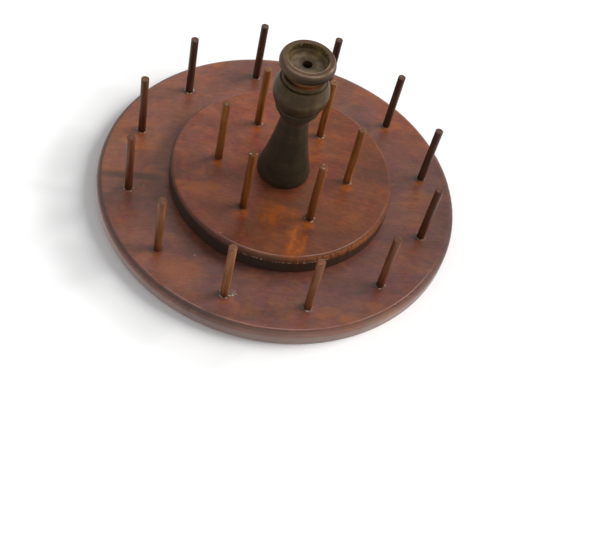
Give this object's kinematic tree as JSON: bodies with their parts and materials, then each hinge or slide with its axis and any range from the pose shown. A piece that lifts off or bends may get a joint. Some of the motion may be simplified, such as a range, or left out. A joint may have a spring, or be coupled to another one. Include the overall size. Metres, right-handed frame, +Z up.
{
  "type": "thread spool stand",
  "caption": "Two-tier round wooden stand with rings of upright pegs for thread spools, a turning upper tier and a turned centre post.",
  "frame": {"origin": "middle of the underside of the base, on the surface that the stand rests on", "axes": "+Z up along the pivot, the post and the rings of pegs; the first outer peg lies on +X"},
  "size_m": [0.21, 0.21, 0.1071],
  "materials": {
    "base_wood": "gloss varnish",
    "tier_wood": "gloss varnish",
    "post_wood": "satin varnish",
    "outer_peg_wood": "satin varnish",
    "inner_peg_wood": "satin varnish",
    "screw_steel": "plain zinc",
    "washer_brass": "dull"
  },
  "bodies": {
    "base": {"base_disc": "base_wood", "outer_peg_01": "outer_peg_wood", "outer_peg_02": "outer_peg_wood", "outer_peg_03": "outer_peg_wood", "outer_peg_04": "outer_peg_wood", "outer_peg_05": "outer_peg_wood", "outer_peg_06": "outer_peg_wood", "outer_peg_07": "outer_peg_wood", "outer_peg_08": "outer_peg_wood", "outer_peg_09": "outer_peg_wood", "outer_peg_10": "outer_peg_wood", "outer_peg_11": "outer_peg_wood", "outer_peg_12": "outer_peg_wood", "screw_washer": "screw_steel", "bearing_washer": "washer_brass"},
    "tier": {"tier_disc": "tier_wood", "centre_post": "post_wood", "inner_peg_01": "inner_peg_wood", "inner_peg_02": "inner_peg_wood", "inner_peg_03": "inner_peg_wood", "inner_peg_04": "inner_peg_wood", "inner_peg_05": "inner_peg_wood", "inner_peg_06": "inner_peg_wood", "pivot_screw": "screw_steel"}
  },
  "joints": [
    {"name": "tier_turn", "type": "hinge", "parent": "base", "child": "tier", "pos_m": [0, 0, 0.0095], "axis": [0, 0, 1], "continuous": true}
  ]
}
